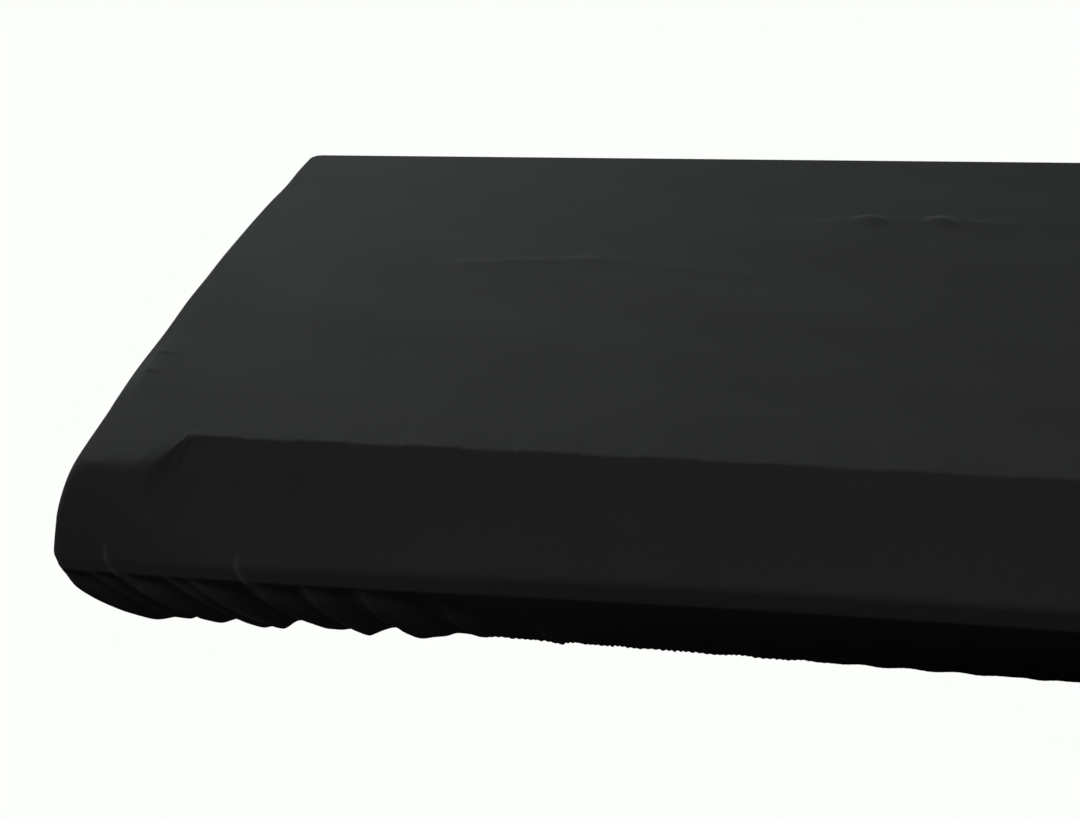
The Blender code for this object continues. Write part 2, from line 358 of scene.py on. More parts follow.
@dataclass(frozen=True)
class CoverForm:
    """The shape that the keyboard gives the cloth, measured from the front crease at mid length."""

    key_pitch: float = 0.0235
    white_keys: int = 52
    end_block: float = 0.0404
    depth: float = 0.2836
    nose: float = 0.022
    seat_depth: float = 0.126
    cloth: float = 0.0012
    saddle_outside: float = 0.0088
    saddle_flare: float = 0.3
    saddle_inside: float = 0.0008
    saddle_spread: float = 0.040
    rail_height: float = 0.0091
    rail_narrow: float = 0.0028
    rail_narrow_reach: float = 0.12
    rail_drop: float = 0.0325
    rail_dip: float = 0.0085
    rail_dip_reach: float = 0.19
    hem_drop: float = 0.0955
    corner_sag: float = 0.0015
    corner_sag_reach: float = 0.13
    front_facing: float = -0.5

    # The spacing of the columns where it isn't a corner's own
    seen_end: float = 0.007
    plain_end: float = 0.0040
    plain_back: float = 0.0070
    outside_keys: int = 2
    measured_rows: int = 12

    # How far the cloth is drawn in between the folds
    trough: float = 0.0046
    trough_at_hem: float = 0.34
    trough_fills: Fade = Fade(0.50, 0.42)
    trough_end: float = 0.030
    trough_fade: float = 0.110

    # How the folds lean, grow below the rail, fall to both sides and sink toward the hem
    lean_fade: float = 0.030
    lean_power: float = 0.6
    slant: float = 0.20
    growth: float = 0.022
    early: float = 0.42
    early_growth: float = 0.012
    full_from: float = 0.9
    sinks: float = 0.50
    sinks_over: Fade = Fade(0.036, 0.035)
    fall_at_rail: float = 1.6
    fall_settles: Fade = Fade(0.0, 0.20)
    fold_round: float = 0.0007
    fold_blend: float = 0.0003
    blend_onset: float = 8.0

    # The highlight painted along the folds' crests: how wide it is, how it grows in below the rail, and how
    # strong it is
    highlight_wide: float = 0.0008
    highlight_growth: float = 0.010
    highlight_at_rail: float = 0.45
    highlight_fills: Fade = Fade(0.01, 0.05)
    highlight_full: float = 0.0020

    # The soft waves that the elastic draws
    ripple_high: float = 0.00042
    ripple_reach: float = 0.9
    ripple_power: float = 1.5
    ripple_waves: tuple[Wave, ...] = (
        Wave(0.50, 0.0232, 0.0, 1.3, 0.171),
        Wave(0.32, 0.0147, 2.0, 1.9, 0.093),
    )

    @property
    def half_keys(self) -> float:
        """Half the length of the keys."""
        return self.white_keys * self.key_pitch / 2

    @property
    def half_length(self) -> float:
        """Half the keyboard's length."""
        return self.half_keys + self.end_block

    @property
    def offset(self) -> np.ndarray:
        """The move from the crease's frame to the model's frame."""
        lift = self.cloth - float(self.profile(np.array([self.seat_depth]))[0])
        return np.array([0.0, -self.seat_depth, lift])

    def profile(self, depth: np.ndarray) -> np.ndarray:
        """The top's height at each depth, as a smooth curve through the table's rows.

        Args:
            depth: distances behind the crease.

        Returns:
            The heights there.
        """
        depths = np.array([row.depth for row in TOP])
        heights = np.array([row.height for row in TOP])
        k = np.clip(np.searchsorted(depths, depth, side="left") - 1, 1, len(TOP) - 2)
        after = np.minimum(k + 2, len(TOP) - 1)
        span = depths[k + 1] - depths[k]
        t = (depth - depths[k]) / span
        leaves = (heights[k + 1] - heights[k - 1]) / (depths[k + 1] - depths[k - 1]) * span
        meets = (heights[after] - heights[k]) / (depths[after] - depths[k]) * span
        rise = heights[k + 1] - heights[k]
        squared = 3 * rise - 2 * leaves - meets
        cubed = leaves + meets - 2 * rise
        return heights[k] + t * (leaves + t * (squared + t * cubed))

    def over_keys(self, x: np.ndarray, face: np.ndarray) -> np.ndarray:
        """Tells the keys from the end blocks, with a sharp change at the crease and a wide one at the rail.

        Args:
            x: along the keyboard.
            face: how far down the face, from 0 at the top to 1 at the rail.

        Returns:
            1 over the keys, 0 over the end blocks, and a share between them where the cloth spans.
        """
        starts = self.half_keys + self.saddle_outside * (1 + self.saddle_flare * face)
        ends = self.half_keys - self.saddle_inside - self.saddle_spread * face**2
        return smooth((starts - np.abs(x)) / (starts - ends))

    def side_lengths(self, loop: Loop) -> tuple[float, float]:
        """How long a loop is from the middle of one corner to the next.

        Args:
            loop: the loop.

        Returns:
            The length along its front or back, and the length along an end.
        """
        rounds = loop.round * math.pi / 2
        along = 2 * (self.half_length + loop.end - loop.round) + rounds
        across = self.depth + loop.back + self.nose + loop.nose - 2 * loop.round + rounds
        return along, across

    def walk(self, loop: Loop, cols: Columns) -> tuple[np.ndarray, np.ndarray]:
        """The plan points and outward directions where the columns meet a loop.

        Args:
            loop: the loop.
            cols: the columns.

        Returns:
            The points and the directions, a row of two for each column.
        """
        rail, here = self.side_lengths(SKIRT[RAIL_TOP]), self.side_lengths(loop)
        along = cols.along * np.where(cols.along > 0, here[0] / rail[0], here[1] / rail[1])
        half = self.half_length + loop.end
        edge = np.where(cols.side_y < 0, -self.nose - loop.nose, self.depth + loop.back)
        quarter = loop.round * math.pi / 4
        angle = math.pi / 4 + np.clip(along, -quarter, quarter) / loop.round
        outward = np.stack([cols.side_x * np.cos(angle), cols.side_y * np.sin(angle)], -1)
        x = cols.side_x * (half - loop.round - np.maximum(along - quarter, 0))
        y = edge - cols.side_y * (loop.round + np.maximum(-along - quarter, 0))
        return np.stack([x, y], -1) + outward * loop.round, outward

    def along_at(self, x: np.ndarray) -> np.ndarray:
        """Where along the rail the front's columns start that meet the crease at x.

        Args:
            x: places along the crease.

        Returns:
            The distances along the rail from the left corner.
        """
        loop = SKIRT[CREASE]
        ratio = self.side_lengths(SKIRT[RAIL_TOP])[0] / self.side_lengths(loop)[0]
        corner = self.half_length + loop.end - loop.round * (1 - math.pi / 4)
        return (x + corner) * ratio

    def columns(self) -> Columns:
        """The cover's columns, once round from the left end, finest at the corner that is seen.

        Returns:
            The columns.
        """
        long_side, short_side = self.side_lengths(SKIRT[RAIL_TOP])
        corners, alongs = [], []
        for k, corner in enumerate(CORNERS):
            after = CORNERS[(k + 1) % len(CORNERS)]
            seen = corner.place is Place.FRONT_LEFT
            leads_on = corner.place.value[0] * corner.place.value[1]
            first = -corner.along_end if leads_on > 0 else -corner.along_edge
            last = corner.along_edge if leads_on > 0 else corner.along_end
            last = self.seen_end if seen else last
            count = round((last - first) / corner.step)
            found = list(np.linspace(first, last, count, endpoint=False) * leads_on)
            side = long_side if leads_on > 0 else short_side
            stop = side - (after.along_edge if leads_on > 0 else after.along_end)
            if seen:
                found += [a for a in self.along_at(self.front_columns()) if last < a < stop]
            else:
                plain = self.plain_back if corner.place is Place.BACK_RIGHT else self.plain_end
                count = max(1, round((stop - last) / plain))
                found += list(np.linspace(last, stop, count, endpoint=False) * leads_on)
            corners += [k] * len(found)
            alongs += found
        return self.made_columns(np.array(corners), np.array(alongs))

    def hem_columns(self, step: float) -> Columns:
        """Evenly fine columns once round the hem.

        Args:
            step: their spacing.

        Returns:
            The columns.
        """
        long_side, short_side = self.side_lengths(SKIRT[RAIL_TOP])
        corners, alongs = [], []
        for k, corner in enumerate(CORNERS):
            leads_on = corner.place.value[0] * corner.place.value[1]
            before, side = (short_side, long_side) if leads_on > 0 else (long_side, short_side)
            count = round((before + side) / 2 / step)
            found = np.linspace(-before / 2, side / 2, count, endpoint=False) * leads_on
            corners += [k] * count
            alongs += list(found)
        return self.made_columns(np.array(corners), np.array(alongs))

    def made_columns(self, corners: np.ndarray, alongs: np.ndarray) -> Columns:
        """Columns with their sides and the way round the rail worked out.

        Args:
            corners: each column's corner, by its number in the table.
            alongs: each column's distance along the rail from its corner.

        Returns:
            The columns.
        """
        sides = np.array([corner.place.value for corner in CORNERS])[corners]
        cols = Columns(corners, sides[:, 0], sides[:, 1], alongs, np.zeros(len(alongs)))
        plan, _ = self.walk(SKIRT[RAIL_TOP], cols)
        gone = np.concatenate([[0.0], np.cumsum(np.linalg.norm(np.diff(plan, axis=0), axis=1))])
        return replace(cols, around=gone)

    def front_columns(self) -> np.ndarray:
        """The x of each column along the front crease, with one at every joint between two keys.

        Returns:
            The places, from left to right.
        """
        found = []
        x = -self.half_keys - self.outside_keys * self.key_pitch
        for zone in FRONT_ZONES:
            step = self.key_pitch / zone.per_key
            while x < zone.ends:
                found.append(x)
                x += step
        return np.array(found)

    def rows(self, stops: np.ndarray) -> Rows:
        """The skirt's rows at these stops, which count the loops of the table.

        Args:
            stops: the rows' places, from 0 at the first loop.

        Returns:
            The rows.
        """
        weights = np.array([row_weights(stop) for stop in stops])
        kinds = np.array([(loop.face, loop.strip, loop.tuck) for loop in SKIRT])
        face, strip, tuck = np.clip((weights @ kinds).T, 0, 1)
        middle = self.made_columns(np.array([0]), np.array([self.half_length]))
        fine = np.linspace(0, len(SKIRT) - 1, self.measured_rows * (len(SKIRT) - 1) + 1)
        line = self.base(middle, np.array([row_weights(stop) for stop in fine]))[:, 0]
        gone = np.concatenate([[0.0], np.cumsum(np.linalg.norm(np.diff(line, axis=0), axis=1))])
        below = np.interp(stops, fine, gone) - np.interp(RAIL_TOP, fine, gone)
        return Rows(weights, face, strip, tuck, below)

    def base(self, cols: Columns, weights: np.ndarray) -> np.ndarray:
        """The smooth skirt without its folds.

        Args:
            cols: the columns.
            weights: the rows' weights on the loops.

        Returns:
            A point for each row and column.
        """
        loops = []
        lean = self.lean(cols)
        for loop in SKIRT:
            leaning = replace(cols, along=cols.along + lean * loop.tuck**self.lean_power)
            plan, outward = self.walk(loop, leaning)
            x, depth = plan[:, 0], plan[:, 1]
            on_front = (cols.side_y < 0) & (outward[:, 1] < self.front_facing)
            share = self.over_keys(x, np.full(len(x), loop.face))
            depth = np.where(on_front, mix(depth, -loop.front, share), depth)
            if loop.face == 0:
                height = self.profile(depth)
            else:
                height = self.side_height(loop, x, depth, self.hang(cols))
            loops.append(np.stack([x, depth, height], -1))
        return np.einsum("rl,lcx->rcx", weights, np.array(loops))

    def side_height(self, loop: Loop, x: np.ndarray, depth: np.ndarray, hang: np.ndarray) -> np.ndarray:
        """The height of a loop below the top, which follows the rail's dip and the hem's sag at the ends.

        Args:
            loop: the loop.
            x: its points along the keyboard.
            depth: the same points behind the crease.
            hang: how much lower the hem hangs there.

        Returns:
            The heights.
        """
        from_end = np.maximum(self.half_length - np.abs(x), 0)
        rail = -self.rail_drop - self.rail_dip * bell(from_end, self.rail_dip_reach)
        foot = rail - self.rail_height + self.rail_narrow * bell(from_end, self.rail_narrow_reach)
        hem = -self.hem_drop - self.corner_sag * bell(from_end, self.corner_sag_reach, 4) - hang
        at_crease = loop is SKIRT[CREASE]
        edge = self.profile(depth if at_crease else np.maximum(depth, -self.nose))
        fallen = 0.0 if at_crease else loop.face
        return mix(edge, rail, fallen) + (foot - rail) * loop.strip + (hem - foot) * loop.tuck

    def lean(self, cols: Columns) -> np.ndarray:
        """How far each column moves along the edge from the rail to the hem, so that it follows the folds.

        Args:
            cols: the columns.

        Returns:
            The moves.
        """
        lean = np.zeros(len(cols.along))
        for k, corner in enumerate(CORNERS):
            here = cols.corner == k
            rails = [gather.rail for gather in corner.gathers]
            moves = [gather.hem - gather.rail for gather in corner.gathers]
            rails = [rails[0] - self.lean_fade] + rails + [rails[-1] + self.lean_fade]
            lean[here] = np.interp(cols.along[here], rails, [0.0] + moves + [0.0])
        return lean

    def hang(self, cols: Columns) -> np.ndarray:
        """How much lower the hem hangs in the lobes between its puckers.

        Args:
            cols: the columns.

        Returns:
            A drop for each column.
        """
        low = np.zeros(len(cols.along))
        for k, corner in enumerate(CORNERS):
            here = cols.corner == k
            for lobe in corner.lobes:
                low[here] += lobe.low * bell(cols.along[here] - lobe.at, lobe.wide, 4)
        return low

    def folds(self, cols: Columns, rows: Rows) -> np.ndarray:
        """How far the folds stand out of the smooth skirt.

        Args:
            cols: the columns.
            rows: the rows.

        Returns:
            A distance for each row and column.
        """
        out = np.zeros((len(rows.below), len(cols.along)))
        below, tuck = rows.below[:, None], rows.tuck[:, None]
        for k, corner in enumerate(CORNERS):
            here = np.flatnonzero(cols.corner == k)
            along = cols.along[here][None, :]
            first, last = corner.gathers[0], corner.gathers[-1]
            among = smooth((along - first.rail + self.trough_end) / self.trough_end)
            among = among * smooth((last.rail - along) / self.trough_fade)
            onset = smooth((below - self.rail_height) / self.growth)
            drawn_in = mix(1.0, self.trough_at_hem, self.trough_fills.at(tuck))
            stood_out = -self.trough * among * onset * drawn_in
            for gather in corner.gathers:
                away = self.from_crest(gather, along, below)
                slope = np.where(away < 0, gather.steep, gather.gentle)
                slope = slope * mix(self.fall_at_rail, 1.0, self.fall_settles.at(tuck))
                rise = self.rise(gather, below)
                blend = self.fold_blend * np.minimum(1.0, self.blend_onset * rise)
                fall = np.sqrt(away**2 + self.fold_round**2) - self.fold_round
                fold = gather.high * rise - slope * fall
                stood_out = (fold + stood_out + np.sqrt((fold - stood_out) ** 2 + blend**2)) / 2
            out[:, here] = stood_out
        return out + self.ripples(cols, rows)

    def from_crest(self, gather: Gather, along: np.ndarray, below: np.ndarray) -> np.ndarray:
        """How far along the rail each place lies from a fold's crest, which slants over the rail."""
        return along - gather.rail + self.slant * np.maximum(self.rail_height - below, 0)

    def rise(self, gather: Gather, below: np.ndarray) -> np.ndarray:
        """How much of its height a fold has: a low start over the rail, all of it below, less at the hem.

        Args:
            gather: the fold.
            below: distances below the rail's upper edge.

        Returns:
            A share of the fold's height for each distance.
        """
        early = self.early * smooth((below - gather.starts) / self.early_growth)
        full = smooth((below - max(gather.starts, self.full_from * self.rail_height)) / self.growth)
        return np.maximum(early, full) * (1 - self.sinks * self.sinks_over.at(below))

    def crest_highlights(self, cols: Columns, rows: Rows) -> np.ndarray:
        """How strongly a highlight is painted along the crests of the folds.

        Args:
            cols: the columns.
            rows: the rows.

        Returns:
            A share from 0 to 1 for each row and column.
        """
        painted_highlight = np.zeros((len(rows.below), len(cols.along)))
        below = rows.below[:, None]
        for k, corner in enumerate(CORNERS):
            here = np.flatnonzero(cols.corner == k)
            for gather in corner.gathers:
                line = bell(self.from_crest(gather, cols.along[here][None, :], below), self.highlight_wide)
                shown = smooth((below - gather.starts) / self.highlight_growth)
                shown = shown * mix(self.highlight_at_rail, 1.0, self.highlight_fills.at(below))
                shown = shown * min(1.0, gather.high / self.highlight_full)
                painted_highlight[:, here] = np.maximum(painted_highlight[:, here], line * shown)
        return painted_highlight

    def ripples(self, cols: Columns, rows: Rows) -> np.ndarray:
        """Small soft waves that the elastic draws in the cloth all round, deeper toward the hem.

        Args:
            cols: the columns.
            rows: the rows.

        Returns:
            A height for each row and column.
        """
        wave = sum(wave.at(cols.around[None, :]) for wave in self.ripple_waves)
        return self.ripple_high * wave * smooth(rows.tuck[:, None] / self.ripple_reach) ** self.ripple_power

    def surface(self, cols: Columns, rows: Rows) -> np.ndarray:
        """The skirt with its folds.

        Args:
            cols: the columns.
            rows: the rows.

        Returns:
            A point for each row and column.
        """
        base = self.base(cols, rows.weights)
        return base + normals_of(base) * self.folds(cols, rows)[:, :, None]


def row_weights(stop: float) -> np.ndarray:
    """A row's weights on the loops, smooth between the sharp loops and rounded over these.

    Args:
        stop: the row's place, in loops.

    Returns:
        One weight for each loop of the skirt.
    """
    for bend in BENDS:
        first, last = bend.loop - bend.before, bend.loop + bend.after
        if first < stop < last:
            u = (stop - first) / (last - first)
            ends = (1 - u) ** 2 * spline_weights(first) + u * u * spline_weights(last)
            return ends + 2 * u * (1 - u) * spline_weights(float(bend.loop))
    return spline_weights(stop)


def spline_weights(stop: float) -> np.ndarray:
    """Weights of a smooth curve through the loops that stays sharp at the sharp ones.

    Args:
        stop: the place, in loops.

    Returns:
        One weight for each loop of the skirt.
    """
    k = min(int(stop), len(SKIRT) - 2)
    t = stop - k
    low = max(s for s in SHARP_LOOPS if s <= k)
    high = min(s for s in SHARP_LOOPS if s > k)
    found = np.zeros(len(SKIRT))
    shares = (
        0.5 * (-t + 2 * t * t - t**3),
        0.5 * (2 - 5 * t * t + 3 * t**3),
        0.5 * (t + 4 * t * t - 3 * t**3),
        0.5 * (-t * t + t**3),
    )
    for place, share in zip((k - 1, k, k + 1, k + 2), shares):
        if place < low:
            found[low] += 2 * share
            found[low + 1] -= share
        elif place > high:
            found[high] += 2 * share
            found[high - 1] -= share
        else:
            found[place] += share
    return found


def normals_of(grid: np.ndarray) -> np.ndarray:
    """Unit normals of a grid of points that closes on itself along its columns.

    Args:
        grid: the points, by row and column.

    Returns:
        A direction for each row and column.
    """
    across = np.roll(grid, -1, axis=1) - np.roll(grid, 1, axis=1)
    down = np.gradient(grid, axis=0)
    normal = np.cross(down, across)
    shortest = 1e-12
    return normal / np.maximum(np.linalg.norm(normal, axis=2, keepdims=True), shortest)


@dataclass(frozen=True)
class Knobs:
    """Two knobs of the panel that hold the cloth up like a tent."""

    at: tuple[float, ...] = (-0.3344, -0.3014)
    depth: float = 0.1968
    high: float = 0.0046
    dip: float = 0.10
    skew: float = 0.03
    beside: float = 0.0260
    beside_power: float = 1.6
    behind: float = 0.0042
    ahead: float = 0.0220
    blunt: float = 0.12
    cap: float = 0.0072
    cap_high: float = 0.0012
    cap_power: float = 2.6
    # The painted highlight along the knobs' rims
    rim: float = 1.15
    rim_ahead: float = 0.0004
    rim_bow: float = 0.0012
    line_wide: float = 0.0016
    line_tone: float = 0.50

    def opened(self, x: np.ndarray, depth: np.ndarray) -> np.ndarray:
        """How strongly a highlight is painted along the knobs' rims, where the tent's top catches the light.

        Args:
            x: along the keyboard.
            depth: behind the crease.

        Returns:
            A share from 0 to 1 for each place.
        """
        found = np.zeros_like(x)
        for place in self.at:
            near = bell(x - place, self.rim * self.cap, 4)
            rim = self.depth - self.rim_ahead - self.rim_bow * ((x - place) / self.cap) ** 2
            found = found + self.line_tone * near * bell(depth - rim, self.line_wide)
        return found

    def relief(self, x: np.ndarray, depth: np.ndarray) -> np.ndarray:
        """How far the cloth stands up over the knobs.

        Args:
            x: along the keyboard.
            depth: behind the crease.

        Returns:
            A height for each place.
        """
        low, high = min(self.at), max(self.at)
        from_middle = np.abs(x - (low + high) / 2)
        outside = np.maximum(from_middle - (high - low) / 2, 0)
        span = 1 - self.dip * (1 - np.clip(from_middle / (high - low) * 2, 0, 1) ** 2)
        line = self.high * span * bell(outside, self.beside, self.beside_power)
        bend = self.depth + self.skew * (x - (low + high) / 2)
        tent = line * crest(depth - bend, self.ahead, self.behind, self.blunt)
        for place in self.at:
            away = np.hypot(x - place, depth - self.depth)
            tent = tent + self.cap_high * bell(away, self.cap, self.cap_power)
        return tent


@dataclass(frozen=True)
class PanelEdge:
    """A low edge of the panel that shows through the cloth, as a bent line with a small knob on it."""

    path: tuple[tuple[float, float], ...] = (
        (-0.5480, 0.1405), (-0.5301, 0.1429), (-0.4651, 0.1500), (-0.3952, 0.1377), (-0.3700, 0.1330),
    )
    knob_at: int = 2
    high: float = 0.0012
    ahead: float = 0.0050
    behind: float = 0.020
    blunt: float = 0.15
    ends: float = 0.030
    knob: float = 0.0007
    knob_wide: float = 0.0060
    # The painted highlight along the edge and on its knob
    knob_tone: float = 0.8
    line_wide: float = 0.0014
    line_tone: float = 0.20
    line_starts: Fade = Fade(0.012, 0.008)
    line_stops: Fade = Fade(0.010, -0.012)

    def opened(self, x: np.ndarray, depth: np.ndarray) -> np.ndarray:
        """How strongly a highlight is painted along the edge's left part and on its knob.

        Args:
            x: along the keyboard.
            depth: behind the crease.

        Returns:
            A share from 0 to 1 for each place.
        """
        xs, depths = np.array(self.path).T
        from_line = depth - np.interp(x, xs, depths)
        from_knob = x - xs[self.knob_at]
        shown = self.line_starts.at(x - xs[0]) * self.line_stops.at(from_knob)
        knob = 1 + self.knob_tone * bell(from_knob, self.knob_wide, 4)
        return self.line_tone * shown * knob * bell(from_line, self.line_wide)

    def relief(self, x: np.ndarray, depth: np.ndarray) -> np.ndarray:
        """How far the cloth stands up over the edge.

        Args:
            x: along the keyboard.
            depth: behind the crease.

        Returns:
            A height for each place.
        """
        xs, depths = np.array(self.path).T
        from_line = depth - np.interp(x, xs, depths)
        shown = smooth((x - xs[0]) / self.ends) * smooth((xs[-1] - x) / self.ends)
        rise = self.high * shown * crest(from_line, self.ahead, self.behind, self.blunt)
        from_knob = np.hypot(x - xs[self.knob_at], depth - depths[self.knob_at])
        return rise + self.knob * bell(from_knob, self.knob_wide)


@dataclass(frozen=True)
class CheekLedges:
    """The two small ledges of the left end block, and the sloping facet in front of them."""

    x: float = -0.6450
    depths: tuple[float, ...] = (0.0527, 0.0390)
    high: float = 0.0009
    wide: float = 0.0085
    front: float = 0.0022
    back: float = 0.020
    side: float = 0.0035
    facet_high: float = 0.0007
    facet_starts: Fade = Fade(0.014, 0.024)
    facet_stops: Fade = Fade(0.020, -0.020)
    # The painted highlight on the facet and along the ledges' upper edges
    facet_tone: float = 0.20
    tone_side: Fade = Fade(0.0, -0.0016)
    tone_starts: Fade = Fade(0.020, 0.014)
    tone_stops: Fade = Fade(0.012, -0.012)
    line_tone: float = 0.16
    line_side: Fade = Fade(-0.002, 0.002)
    line_back: float = 0.0026
    line_wide: float = 0.0014

    def opened(self, x: np.ndarray, depth: np.ndarray) -> np.ndarray:
        """How strongly a highlight is painted on the facet beside the ledges and along their upper edges.

        Args:
            x: along the keyboard.
            depth: behind the crease.

        Returns:
            A share from 0 to 1 for each place.
        """
        inward = x - self.x
        beside = self.tone_side.at(inward) * self.tone_starts.at(depth)
        found = self.facet_tone * beside * self.tone_stops.at(depth - self.depths[0])
        for place in self.depths:
            along = self.line_side.at(inward) * bell(np.maximum(inward, 0), self.wide)
            above = bell(depth - place - self.line_back, self.line_wide)
            found = np.maximum(found, self.line_tone * along * above)
        return found

    def relief(self, x: np.ndarray, depth: np.ndarray) -> np.ndarray:
        """How far the cloth stands up over the ledges.

        Args:
            x: along the keyboard.
            depth: behind the crease.

        Returns:
            A height for each place.
        """
        inward = np.maximum(x - self.x, 0)
        body = self.facet_starts.at(depth) * self.facet_stops.at(depth - self.depths[0])
        rise = self.facet_high * body * bell(inward, 2 * self.wide)
        for place in self.depths:
            step = smooth((depth - place) / self.front) * np.exp(-np.maximum(depth - place, 0) / self.back)
            rise = rise + self.high * bell(inward, self.wide) * step
        return rise * smooth((x - self.x + self.side) / self.side)


@dataclass(frozen=True)
class KeyMarks:
    """What the keys leave in the cloth: a small step at each joint of the crease, and faint spots behind."""

    step: float = 0.00034
    step_shares: tuple[float, float] = (0.35, 1.0)
    uneven: float = 0.4
    blend: float = 0.0010
    back: float = 0.010
    back_power: float = 1.2
    droop: float = 0.0008
    droop_reach: float = 0.09
    droop_back: float = 0.030
    beyond: float = 0.030
    spot_depth: float = 0.0475
    spot_high: float = 0.00026
    spot_wide: float = 0.0034
    spot_long: float = 0.0022
    faint: float = 0.5
    clear_spots: tuple[int, ...] = (12, 14)
    octave: int = 7
    first_joint: int = 5
    bare_joints: tuple[int, ...] = (0, 3)
    seed: int = 7

    def levels(self, count: int) -> np.ndarray:
        """How high each key holds the crease, up and down in turn with some unevenness.

        Args:
            count: how many keys there are.

        Returns:
            A height for each key.
        """
        rng = np.random.default_rng(self.seed)
        turn = np.where(np.arange(count) % 2 == 0, 1.0, -1.0)
        shares = turn * rng.uniform(*self.step_shares, count)
        return self.step * (shares + rng.uniform(-self.uneven, self.uneven, count))

    def crease(self, form: CoverForm, x: np.ndarray) -> np.ndarray:
        """How far the keys lift the crease.

        Args:
            form: the cover's form.
            x: along the keyboard.

        Returns:
            A height for each place.
        """
        levels = self.levels(form.white_keys)
        place = (x + form.half_keys) / form.key_pitch
        key = np.clip(np.floor(place).astype(int), 0, form.white_keys - 1)
        nearest = np.clip(np.round(place).astype(int), 1, form.white_keys - 1)
        away = (place - nearest) * form.key_pitch / self.blend
        stepped = mix(levels[nearest - 1], levels[nearest], smooth((away + 1) / 2))
        return np.where(np.abs(away) < 1, stepped, levels[key]) * (np.abs(x) < form.half_keys)

    def sunk(self, form: CoverForm, x: np.ndarray) -> np.ndarray:
        """How much lower the crease lies toward its two ends."""
        inside = form.half_keys - np.abs(x)
        return self.droop * bell(np.maximum(inside, 0), self.droop_reach) * smooth(1 + inside / self.beyond)

    def relief(self, form: CoverForm, x: np.ndarray, depth: np.ndarray) -> np.ndarray:
        """How far the cloth stands up over the keys.

        Args:
            form: the cover's form.
            x: along the keyboard.
            depth: behind the crease.

        Returns:
            A height for each place.
        """
        behind = np.maximum(depth, 0)
        rise = self.crease(form, x) * bell(behind, self.back, self.back_power)
        rise = rise - self.sunk(form, x) * bell(behind, self.droop_back)
        rng = np.random.default_rng(self.seed + 1)
        for joint in range(1, form.white_keys):
            strong = rng.uniform(0.0, self.faint)
            if joint in self.clear_spots:
                strong = 1.0
            if (joint + self.first_joint) % self.octave not in self.bare_joints:
                middle = -form.half_keys + joint * form.key_pitch
                spot = bell(x - middle, self.spot_wide, 4) * bell(depth - self.spot_depth, self.spot_long)
                rise = rise + strong * self.spot_high * spot
        return rise


